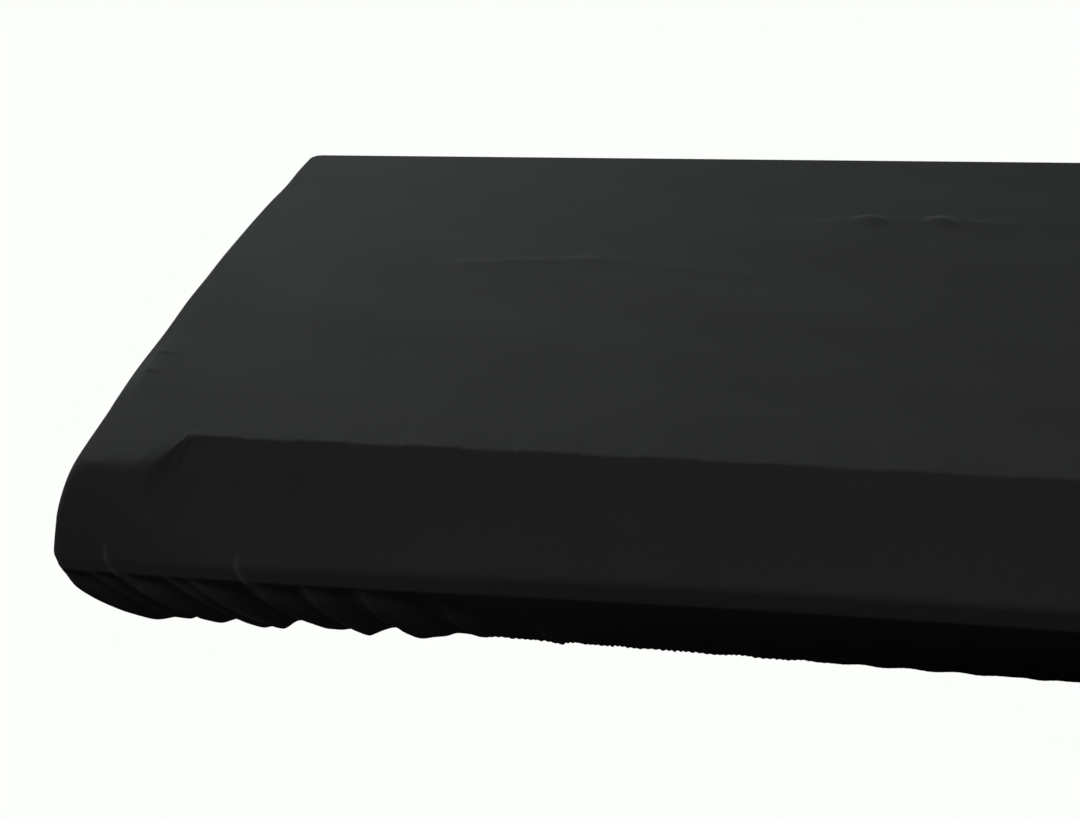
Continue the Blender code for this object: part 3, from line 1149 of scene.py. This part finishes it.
@dataclass
class CoverCloth:
    """The one piece of cloth: the top, and the skirt with its folds down to the hem's stitching."""

    form: CoverForm
    knobs: Knobs = field(default_factory=Knobs)
    edge: PanelEdge = field(default_factory=PanelEdge)
    ledges: CheekLedges = field(default_factory=CheekLedges)
    keys: KeyMarks = field(default_factory=KeyMarks)

    # How finely the top is divided, and how far its points stay from the skirt's first loop
    top_step: float = 0.0044
    margin: float = 0.0011
    front_reach: float = 0.02
    same_point: float = 1e-7

    # How the marks of the top end past the crease
    marks_reach: float = 0.30
    marks_power: float = 1.5
    # How the painted highlights of the marks fade out below the top
    marks_height: Fade = Fade(-0.006, 0.003)

    # The long low waves of the top
    wave_seed: int = 11
    waves: int = 14
    wave_lengths: tuple[float, float] = (0.16, 0.5)
    wave_depths: tuple[float, float] = (0.035, 0.11)
    wave_high: float = 0.0018
    wave_margin: float = 0.006
    wave_fade: float = 0.03

    # Where and how far the cloth is pulled taut beside the keys
    pull: float = 0.6
    pulls: int = 70
    pull_block: Fade = Fade(-0.002, 0.006)
    pull_outer: Fade = Fade(0.022, 0.012)
    outer_share: float = 0.25
    pull_front: Fade = Fade(-0.052, 0.014)
    pull_back: Fade = Fade(0.026, -0.022)
    pull_low: Fade = Fade(-0.026, 0.012)

    def stops(self) -> np.ndarray:
        """The places of the skirt's rows, in loops."""
        return np.concatenate([CREASE_STOPS, FACE_STOPS, RAIL_STOPS, STRIP_STOPS, TUCK_STOPS, SEAM_STOPS])

    def relief(self, x: np.ndarray, depth: np.ndarray) -> np.ndarray:
        """How far the top stands out of its smooth form.

        Args:
            x: along the keyboard.
            depth: behind the crease.

        Returns:
            The heights to add.
        """
        marks = self.knobs.relief(x, depth) + self.edge.relief(x, depth) + self.ledges.relief(x, depth)
        return marks + self.keys.relief(self.form, x, depth) + self.unevenness(x, depth)

    def unevenness(self, x: np.ndarray, depth: np.ndarray) -> np.ndarray:
        """Long low waves of cloth that is held unevenly, running mostly along the keyboard.

        Args:
            x: along the keyboard.
            depth: behind the crease.

        Returns:
            A height for each place.
        """
        rng = np.random.default_rng(self.wave_seed)
        rise = np.zeros_like(x)
        for _ in range(self.waves):
            long_way, short_way = rng.uniform(*self.wave_lengths), rng.uniform(*self.wave_depths)
            turn = rng.uniform(0, 2 * np.pi)
            rise = rise + short_way * np.sin(2 * np.pi * (x / long_way + depth / short_way) + turn)
        inside = smooth((depth - self.wave_margin) / self.wave_fade)
        inside = inside * smooth((self.form.depth - self.wave_margin - depth) / self.wave_fade)
        return self.wave_high * rise * inside

    def skirt(self) -> tuple[np.ndarray, np.ndarray]:
        """The skirt's points and their places on the flat cloth.

        Returns:
            Both by row and column.
        """
        stops = self.stops()
        cols, rows = self.form.columns(), self.form.rows(stops)
        grid = self.form.surface(cols, rows)
        on_top = bell(rows.face[:, None], self.marks_reach, self.marks_power) * (rows.strip[:, None] == 0)
        grid[:, :, 2] += self.relief(grid[:, :, 0], np.maximum(grid[:, :, 1], 0)) * on_top
        _, outward = self.form.walk(SKIRT[CREASE], cols)
        start = int(np.argmin(np.abs(stops - CREASE)))
        base = self.form.base(cols, rows.weights)
        reach = np.einsum("rcx,cx->rc", base[:, :, :2], outward)
        gone = np.cumsum(np.hypot(np.diff(reach, axis=0), np.diff(base[:, :, 2], axis=0)), axis=0)
        gone = np.concatenate([np.zeros((1, len(cols.along))), gone])
        away = reach[start] + gone - gone[start] - reach
        return grid, base[:, :, :2] + outward[None] * away[:, :, None]

    def inside_points(self, border: np.ndarray) -> np.ndarray:
        """Plan points inside the border: an even grid, and finer ones where something marks the cloth.

        Args:
            border: the plan points of the skirt's first loop.

        Returns:
            The points.
        """
        low, high = border.min(0), border.max(0)
        patches = (Patch(self.top_step, low[0], high[0], low[1], high[1]), *FINE_PATCHES)
        kept = np.zeros((0, 2))
        for k, patch in enumerate(patches):
            xs = np.arange(patch.left + patch.step / 2, patch.right, patch.step)
            ys = np.arange(patch.front + patch.step / 2, patch.back, patch.step)
            gx, gy = np.meshgrid(xs, ys)
            gx = gx + (np.arange(len(ys)) % 2)[:, None] * patch.step / 2
            found = np.stack([gx.ravel(), gy.ravel()], -1)
            for other in patches[k + 1:]:
                inside = (found[:, 0] > other.left) & (found[:, 0] < other.right)
                inside &= (found[:, 1] > other.front) & (found[:, 1] < other.back)
                found = found[~inside]
            kept = np.concatenate([kept, found])
        x, y = kept.T
        front = np.interp(x, *self.front_line(border))
        room = np.minimum.reduce([x - low[0], high[0] - x, y - front, high[1] - y])
        return kept[room > self.margin]

    def front_line(self, border: np.ndarray) -> tuple[np.ndarray, np.ndarray]:
        """The border's front edge.

        Args:
            border: the plan points of the skirt's first loop.

        Returns:
            Its x and y, from left to right.
        """
        front = border[border[:, 1] < self.front_reach]
        order = np.argsort(front[:, 0])
        return front[order, 0], front[order, 1]

    def top(self, border: np.ndarray, taken: int) -> tuple[np.ndarray, list[tuple[int, ...]]]:
        """Fills the border with triangles that join the skirt's first loop.

        Args:
            border: the plan points of that loop, which are the piece's first points.
            taken: how many points the piece has already.

        Returns:
            The new points in plan, and the faces as tuples of point numbers.
        """
        count = len(border)
        spots = [Vector(place) for place in (*border, *self.inside_points(border))]
        ring = [(k, (k + 1) % count) for k in range(count)]
        found, _, faces, sources, _, _ = delaunay_2d_cdt(spots, ring, [], 1, self.same_point)
        numbers, plan = [], []
        for place, source in zip(found, sources):
            on_border = [k for k in source if k < count]
            if on_border:
                numbers.append(on_border[0])
            else:
                numbers.append(taken + len(plan))
                plan.append((place.x, place.y))
        return np.array(plan), [tuple(numbers[k] for k in face) for face in faces]

    def build(self) -> bpy.types.Object:
        """The cover's cloth as one mesh with its flat places as a UV map.

        Returns:
            The piece, in place.
        """
        grid, flat = self.skirt()
        n_rows, n_cols = grid.shape[:2]
        skirt = grid.reshape(-1, 3)
        plan, tops = self.top(grid[0, :, :2], len(skirt))
        height = self.form.profile(plan[:, 1]) + self.relief(plan[:, 0], plan[:, 1])
        faces = ring_faces(n_rows, n_cols, False) + tops
        points = self.stretched(np.concatenate([skirt, np.column_stack([plan, height])]), faces)
        places = np.concatenate([flat.reshape(-1, 2), plan])
        piece = mesh_piece("cover_cloth", points + self.form.offset, faces, places)
        # The shares of painted highlight, kept on the points for the material
        painted_highlight = self.painted_highlights(points, len(skirt))
        layer = piece.data.attributes.new("painted_highlight", "FLOAT", "POINT")
        layer.data.foreach_set("value", painted_highlight.astype(np.float32))
        return piece

    def painted_highlights(self, points: np.ndarray, skirt_count: int) -> np.ndarray:
        """How strongly a highlight is painted at each point, over the folds' crests and the marks of the
        top.

        Args:
            points: the cloth's points, the skirt's first.
            skirt_count: how many of them are the skirt's.

        Returns:
            A share for each point.
        """
        painted_highlight = np.zeros(len(points))
        painted_highlight[:skirt_count] = self.form.crest_highlights(self.form.columns(), self.form.rows(self.stops())).ravel()
        on_top = self.marks_height.at(points[:, 2])
        for mark in (self.knobs, self.edge, self.ledges):
            painted_highlight += on_top * mark.opened(points[:, 0], points[:, 1])
        return painted_highlight

    def stretched(self, points: np.ndarray, faces: list[tuple[int, ...]]) -> np.ndarray:
        """Pulls the cloth taut where it spans from the end blocks to the first and last keys.

        Args:
            points: the cloth's points.
            faces: its faces.

        Returns:
            The points after the pull.
        """
        beyond = np.abs(points[:, 0]) - self.form.half_keys
        free = self.pull_block.at(beyond) * mix(1.0, self.outer_share, self.pull_outer.at(beyond))
        free = free * self.pull_front.at(points[:, 1]) * self.pull_back.at(points[:, 1])
        free = free * self.pull_low.at(points[:, 2])
        pairs = []
        for face in faces:
            for a, b in zip(face, face[1:] + face[:1]):
                if free[a] > 0 or free[b] > 0:
                    pairs.append((min(a, b), max(a, b)))
        pairs = np.array(sorted(set(pairs)))
        count = np.bincount(pairs.ravel(), minlength=len(points))
        share = (free * self.pull)[:, None]
        moved = points.copy()
        touched = np.flatnonzero(free > 0)
        for _ in range(self.pulls):
            total = np.zeros_like(moved)
            np.add.at(total, pairs[:, 0], moved[pairs[:, 1]])
            np.add.at(total, pairs[:, 1], moved[pairs[:, 0]])
            middle = total[touched] / count[touched][:, None]
            moved[touched] += share[touched] * (middle - moved[touched])
        return moved


@dataclass
class HemBand:
    """The turned hem with elastic in it, finely ruffled, over the lower edge of the skirt."""

    form: CoverForm
    step: float = 0.00065
    flat_step: float = 0.0016
    proud: float = 0.00042
    behind: float = 0.00120
    ruffle: float = 0.00034
    ruffle_at_seam: float = 0.35
    ruffle_grows: Fade = Fade(9.10, 1.4)
    drop: float = 0.00028
    pitch: float = 0.0027
    pitch_waves: tuple[Wave, ...] = (Wave(1.5, 0.023, 1.1), Wave(1.1, 0.0617))
    beat: float = 0.25
    beat_pace: float = 0.61
    beat_phase: float = 0.7
    strength: float = 0.70
    strength_wave: Wave = Wave(0.30, 0.041, 0.0, 2.2, 0.13)
    front_starts: Fade = Fade(0.150, 0.020)
    front_calms: Fade = Fade(0.270, 0.050)
    calm: float = 0.12
    elsewhere: float = 0.50

    def build(self) -> bpy.types.Object:
        """The hem as a closed band.

        Returns:
            The piece, in place.
        """
        cols = self.form.hem_columns(self.step)
        stops = np.array([row.stop for row in HEM_ROWS])
        grid = self.form.surface(cols, self.form.rows(stops))
        normal = normals_of(grid)
        wave, strength = self.ruffled(cols)
        share = self.ruffle_grows.at(stops)[:, None]
        sway = self.ruffle * wave * strength * mix(self.ruffle_at_seam, 1.0, share)
        grid[:, :, 2] -= self.drop * np.abs(wave) * strength * share
        outer = self.proud * np.array([row.outer for row in HEM_ROWS])[:, None]
        inner = self.behind * np.array([row.inner for row in HEM_ROWS])[:, None]
        outside = grid + normal * (sway + outer)[:, :, None]
        inside = grid + normal * (sway - inner)[:, :, None]
        ring = np.concatenate([outside, inside[::-1]])
        n_rows, n_cols = ring.shape[:2]
        flat = np.stack(np.meshgrid(cols.around, np.arange(n_rows) * self.flat_step), -1)
        points = ring.reshape(-1, 3) + self.form.offset
        return mesh_piece("hem", points, ring_faces(n_rows, n_cols, True), flat.reshape(-1, 2))

    def ruffled(self, cols: Columns) -> tuple[np.ndarray, np.ndarray]:
        """The ruffle, which is fine along the front, calm past it and half as strong elsewhere.

        Args:
            cols: the hem's columns.

        Returns:
            The wave and its strength at each column.
        """
        way = cols.around
        turn = 2 * np.pi * way / self.pitch + sum(wave.at(way) for wave in self.pitch_waves)
        wave = np.sin(turn) + self.beat * np.sin(self.beat_pace * turn + self.beat_phase)
        strength = self.strength + self.strength_wave.at(way)
        on_front = (cols.corner == 0) & (cols.along > 0)
        along = np.where(on_front, cols.along, 0.0)
        front = self.front_starts.at(along) * mix(1.0, self.calm, self.front_calms.at(along))
        return wave, strength * np.where(on_front, front, self.elsewhere)


def ring_faces(n_rows: int, n_cols: int, closed: bool) -> list[tuple[int, ...]]:
    """The four-sided faces of a grid of points that closes on itself along its columns.

    Args:
        n_rows: how many rows the grid has.
        n_cols: how many columns it has.
        closed: whether the last row joins the first too.

    Returns:
        The faces, as tuples of point numbers.
    """
    faces = []
    for r in range(n_rows if closed else n_rows - 1):
        s = (r + 1) % n_rows
        for c in range(n_cols):
            d = (c + 1) % n_cols
            faces.append((r * n_cols + c, s * n_cols + c, s * n_cols + d, r * n_cols + d))
    return faces


def placed(name: str, data: bpy.types.ID) -> bpy.types.Object:
    """An object with this data, linked to the scene.

    Args:
        name: the object's name.
        data: its mesh, camera or light.

    Returns:
        The object.
    """
    made = bpy.data.objects.new(name, data)
    bpy.context.scene.collection.objects.link(made)
    return made


def mesh_piece(name: str, points: np.ndarray, faces: list, places: np.ndarray) -> bpy.types.Object:
    """A smooth mesh object with a UV map.

    Args:
        name: the piece's name.
        points: its points.
        faces: its faces, as tuples of point numbers.
        places: each point's place on the flat cloth, in metres.

    Returns:
        The object, linked to the scene.
    """
    data = bpy.data.meshes.new(name)
    data.from_pydata([tuple(p) for p in points], [], faces)
    data.validate()
    data.shade_smooth()
    loops = np.zeros(len(data.loops), np.int32)
    data.loops.foreach_get("vertex_index", loops)
    layer = data.uv_layers.new(name="flat_cloth")
    layer.data.foreach_set("uv", places[loops].astype(np.float32).ravel())
    return placed(name, data)


def math_node(tree: bpy.types.NodeTree, kind: str, a: object, b: object = None, c: object = None) -> object:
    """A Math node whose inputs are sockets or numbers.

    Args:
        tree: where the node goes.
        kind: the operation.
        a: the first input.
        b: the second input, if it has one.
        c: the third input, if it has one.

    Returns:
        The node's output socket.
    """
    node = tree.nodes.new("ShaderNodeMath")
    node.operation = kind
    for socket, value in zip(node.inputs, (a, b, c)):
        if isinstance(value, bpy.types.NodeSocket):
            tree.links.new(value, socket)
        elif value is not None:
            socket.default_value = value
    return node.outputs[0]


@dataclass(frozen=True)
class PlainKnit:
    """A plain knit: V-shaped stitches in wales, of uneven yarn that is a little worn in places."""

    slant: float = 0.7
    relief: float = 0.10
    yarn_scale: float = 900.0
    yarn_detail: float = 2.0
    yarn_tone: float = 0.65
    worn_scale: float = 14.0
    worn_detail: float = 3.0
    worn_tone: float = 0.45
    stitch_tone: float = 0.24
    dark: float = 0.15

    def group(self) -> bpy.types.NodeTree:
        """The node group that draws the knit.

        Returns:
            The group. Its inputs are the place on the flat cloth and a stitch's width and height in metres.
        """
        tree = bpy.data.node_groups.new("plain_knit", "ShaderNodeTree")
        face = tree.interface
        face.new_socket("Place", in_out="INPUT", socket_type="NodeSocketVector")
        face.new_socket("Wale", in_out="INPUT", socket_type="NodeSocketFloat")
        face.new_socket("Course", in_out="INPUT", socket_type="NodeSocketFloat")
        face.new_socket("Height", in_out="OUTPUT", socket_type="NodeSocketFloat")
        face.new_socket("Tone", in_out="OUTPUT", socket_type="NodeSocketFloat")
        start, end = tree.nodes.new("NodeGroupInput"), tree.nodes.new("NodeGroupOutput")
        parts = tree.nodes.new("ShaderNodeSeparateXYZ")
        tree.links.new(start.outputs["Place"], parts.inputs[0])
        across = math_node(tree, "DIVIDE", parts.outputs["X"], start.outputs["Wale"])
        down = math_node(tree, "DIVIDE", parts.outputs["Y"], start.outputs["Course"])
        middle = math_node(tree, "SUBTRACT", math_node(tree, "FRACT", across), 0.5)
        middle = math_node(tree, "ABSOLUTE", middle)
        leg = math_node(tree, "MULTIPLY", middle, 2.0)
        slant = math_node(tree, "ADD", down, math_node(tree, "MULTIPLY", leg, self.slant))
        turn = math_node(tree, "SINE", math_node(tree, "MULTIPLY", slant, 2 * math.pi))
        wave = math_node(tree, "SINE", math_node(tree, "MULTIPLY", leg, math.pi))
        loops = math_node(tree, "MULTIPLY_ADD", turn, self.relief, 1 - self.relief)
        stitch = math_node(tree, "MULTIPLY", wave, loops)
        tree.links.new(stitch, end.inputs["Height"])
        yarn = self.noise(tree, start.outputs["Place"], self.yarn_scale, self.yarn_detail)
        worn = self.noise(tree, start.outputs["Place"], self.worn_scale, self.worn_detail)
        worn = math_node(tree, "MULTIPLY", worn, self.worn_tone)
        mixed = math_node(tree, "MULTIPLY_ADD", yarn, self.yarn_tone, worn)
        mixed = math_node(tree, "SUBTRACT", mixed, self.dark)
        tone = math_node(tree, "MULTIPLY_ADD", stitch, self.stitch_tone, mixed)
        tree.links.new(tone, end.inputs["Tone"])
        return tree

    def noise(self, tree: bpy.types.NodeTree, place: object, scale: float, detail: float) -> object:
        """An uneven tone over the flat cloth.

        Args:
            tree: where the node goes.
            place: the socket of the place on the cloth.
            scale: how fine the noise is.
            detail: how many finer layers it has.

        Returns:
            The socket of the tone.
        """
        node = tree.nodes.new("ShaderNodeTexNoise")
        node.inputs["Scale"].default_value = scale
        node.inputs["Detail"].default_value = detail
        tree.links.new(place, node.inputs["Vector"])
        return node.outputs["Fac"]


@dataclass(frozen=True)
class KnitFinish:
    """Matt black stretch knit: its colours, one of them a lighter colour painted as a highlight, the size of
    its stitches, and how it takes the light.
    """

    name: str = "black_knit"
    colour: tuple[float, float, float] = (0.0225, 0.0234, 0.0240)
    worn: tuple[float, float, float] = (0.0430, 0.0440, 0.0444)
    # The colour painted as a highlight over the fold crests, knob rims, panel edge and ledges
    opened: tuple[float, float, float] = (0.1150, 0.1180, 0.1200)
    wale: float = 0.00090
    course: float = 0.00075
    stitch_high: float = 0.00006
    bump: float = 0.6
    roughness: float = 0.86
    rough_spread: float = 0.05
    specular: float = 0.22
    sheen: float = 0.10
    sheen_rough: float = 0.55
    sheen_tint: tuple[float, float, float] = (0.75, 0.78, 0.80)

    def material(self, knit: bpy.types.NodeTree) -> bpy.types.Material:
        """The cloth's material.

        Args:
            knit: the node group that draws the stitches.

        Returns:
            The material.
        """
        made = bpy.data.materials.new(self.name)
        made.use_nodes = True
        nodes, links = made.node_tree.nodes, made.node_tree.links
        shader = nodes["Principled BSDF"]
        shader.inputs["Metallic"].default_value = 0.0
        shader.inputs["Specular IOR Level"].default_value = self.specular
        shader.inputs["Sheen Weight"].default_value = self.sheen
        shader.inputs["Sheen Roughness"].default_value = self.sheen_rough
        shader.inputs["Sheen Tint"].default_value = (*self.sheen_tint, 1)
        places = nodes.new("ShaderNodeUVMap")
        places.uv_map = "flat_cloth"
        stitches = nodes.new("ShaderNodeGroup")
        stitches.node_tree = knit
        stitches.inputs["Wale"].default_value = self.wale
        stitches.inputs["Course"].default_value = self.course
        links.new(places.outputs["UV"], stitches.inputs["Place"])
        colour = nodes.new("ShaderNodeMix")
        colour.data_type = "RGBA"
        colour.inputs["A"].default_value = (*self.colour, 1)
        colour.inputs["B"].default_value = (*self.worn, 1)
        links.new(stitches.outputs["Tone"], colour.inputs["Factor"])
        # Painted highlight: the lighter colour is mixed in where the point attribute says so
        painted_highlight = nodes.new("ShaderNodeAttribute")
        painted_highlight.attribute_name = "painted_highlight"
        opened = nodes.new("ShaderNodeMix")
        opened.data_type = "RGBA"
        opened.inputs["B"].default_value = (*self.opened, 1)
        links.new(painted_highlight.outputs["Fac"], opened.inputs["Factor"])
        links.new(colour.outputs["Result"], opened.inputs["A"])
        links.new(opened.outputs["Result"], shader.inputs["Base Color"])
        rough = nodes.new("ShaderNodeMapRange")
        rough.inputs["To Min"].default_value = self.roughness + self.rough_spread
        rough.inputs["To Max"].default_value = self.roughness - self.rough_spread
        links.new(stitches.outputs["Tone"], rough.inputs["Value"])
        links.new(rough.outputs["Result"], shader.inputs["Roughness"])
        bump = nodes.new("ShaderNodeBump")
        bump.inputs["Strength"].default_value = self.bump
        bump.inputs["Distance"].default_value = self.stitch_high
        links.new(stitches.outputs["Height"], bump.inputs["Height"])
        links.new(bump.outputs["Normal"], shader.inputs["Normal"])
        return made


@dataclass(frozen=True)
class Lamp:
    """A soft area light: where it is, where it points, its size, its power, its colour and its beam."""

    name: str
    place: tuple[float, float, float]
    aim: tuple[float, float, float]
    wide: float
    tall: float
    power: float
    colour: tuple[float, float, float] = (1.0, 1.0, 1.0)
    beam: float = 180.0


LAMPS = (
    Lamp("key", (-1.00, 0.60, 0.70), (-0.50, 0.05, 0.0), 0.55, 0.45, 5.2, (0.96, 0.985, 1.0)),
    Lamp("overhead", (-0.30, -1.14, 1.68), (-0.30, -0.05, 0.0), 1.5, 0.5, 10.8),
    Lamp("low", (0.00, -0.80, -0.32), (-0.62, -0.13, -0.09), 0.2, 0.2, 0.0110, beam=29.0),
)


@dataclass(frozen=True)
class Studio:
    """The camera, the pale floor and the soft light. The camera's angles are in degrees."""

    camera_place: tuple[float, float, float] = (-0.35314, -0.57693, 0.28711)
    focal_pixels: float = 1400.0
    turn: float = 13.2896
    tilt: float = 30.9026
    roll: float = -4.2658
    sensor: float = 36.0
    nearest: float = 0.02
    floor_drop: float = 0.75
    floor_size: float = 14.0
    floor_colour: tuple[float, float, float] = (0.974, 0.991, 0.965)
    ambient: float = 0.008

    def build(self) -> None:
        """Makes the camera, the floor, the lights and the world."""
        self.camera()
        self.floor()
        for lamp in LAMPS:
            self.light(lamp)
        self.world()

    def world(self) -> None:
        """A dim even light, which the camera sees as a pale ground."""
        world = bpy.data.worlds.new("studio")
        world.use_nodes = True
        nodes, links = world.node_tree.nodes, world.node_tree.links
        back = nodes["Background"]
        back.inputs["Color"].default_value = (*self.floor_colour, 1)
        seen = nodes.new("ShaderNodeLightPath")
        strength = nodes.new("ShaderNodeMapRange")
        strength.inputs["To Min"].default_value = self.ambient
        strength.inputs["To Max"].default_value = 1.0
        links.new(seen.outputs["Is Camera Ray"], strength.inputs["Value"])
        links.new(strength.outputs["Result"], back.inputs["Strength"])
        bpy.context.scene.world = world
        bpy.context.scene.view_settings.view_transform = "Standard"

    def camera(self) -> None:
        """The camera, turned to the left, tilted down and rolled as it was held."""
        turn, tilt, roll = (math.radians(a) for a in (self.turn, self.tilt, self.roll))
        level = Vector((math.cos(turn), math.sin(turn), 0))
        ahead = Vector((-math.sin(turn) * math.cos(tilt), math.cos(turn) * math.cos(tilt), -math.sin(tilt)))
        up = level.cross(ahead)
        right = level * math.cos(roll) + up * math.sin(roll)
        up = up * math.cos(roll) - level * math.sin(roll)
        data = bpy.data.cameras.new("camera")
        data.sensor_width = self.sensor
        data.lens = self.focal_pixels / PHOTO_WIDE * self.sensor
        data.clip_start = self.nearest
        camera = placed("camera", data)
        axes = Matrix((right, up, -ahead)).transposed()
        camera.matrix_world = Matrix.Translation(self.camera_place) @ axes.to_4x4()
        bpy.context.scene.camera = camera

    def floor(self) -> None:
        """A plain pale floor that doesn't throw light up at the cloth."""
        half = self.floor_size / 2
        data = bpy.data.meshes.new("floor")
        corners = [(-half, -half, 0), (half, -half, 0), (half, half, 0), (-half, half, 0)]
        data.from_pydata(corners, [], [(0, 1, 2, 3)])
        floor = placed("floor", data)
        floor.location.z = -self.floor_drop
        made = bpy.data.materials.new("pale_floor")
        made.use_nodes = True
        shader = made.node_tree.nodes["Principled BSDF"]
        shader.inputs["Base Color"].default_value = (0.0, 0.0, 0.0, 1)
        shader.inputs["Roughness"].default_value = 1.0
        shader.inputs["Specular IOR Level"].default_value = 0.0
        shader.inputs["Emission Color"].default_value = (*self.floor_colour, 1)
        shader.inputs["Emission Strength"].default_value = 1.0
        floor.data.materials.append(made)
        floor.visible_diffuse = False
        floor.visible_glossy = False

    def light(self, lamp: Lamp) -> None:
        """One soft light.

        Args:
            lamp: what it is like.
        """
        data = bpy.data.lights.new(lamp.name, "AREA")
        data.shape = "RECTANGLE"
        data.size, data.size_y = lamp.wide, lamp.tall
        data.spread = math.radians(lamp.beam)
        data.energy = lamp.power
        data.color = lamp.colour
        light = placed(lamp.name, data)
        light.location = lamp.place
        toward = Vector(lamp.aim) - Vector(lamp.place)
        light.rotation_mode = "QUATERNION"
        light.rotation_quaternion = toward.to_track_quat("-Z", "Y")


def main() -> None:
    """Builds the cover's pieces and the studio, and reports each."""
    logging.basicConfig(level=logging.INFO, format="%(message)s")
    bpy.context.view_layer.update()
    form = CoverForm()
    finish = KnitFinish().material(PlainKnit().group())
    cover = CoverCloth(form).build()
    hem = HemBand(form).build()
    for piece in (cover, hem):
        piece.data.materials.append(finish)
        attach(piece, "root")
        log.info("%s: %d faces", piece.name, len(piece.data.polygons))
    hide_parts("cover")
    Studio().build()


if __name__ == "__main__":
    main()
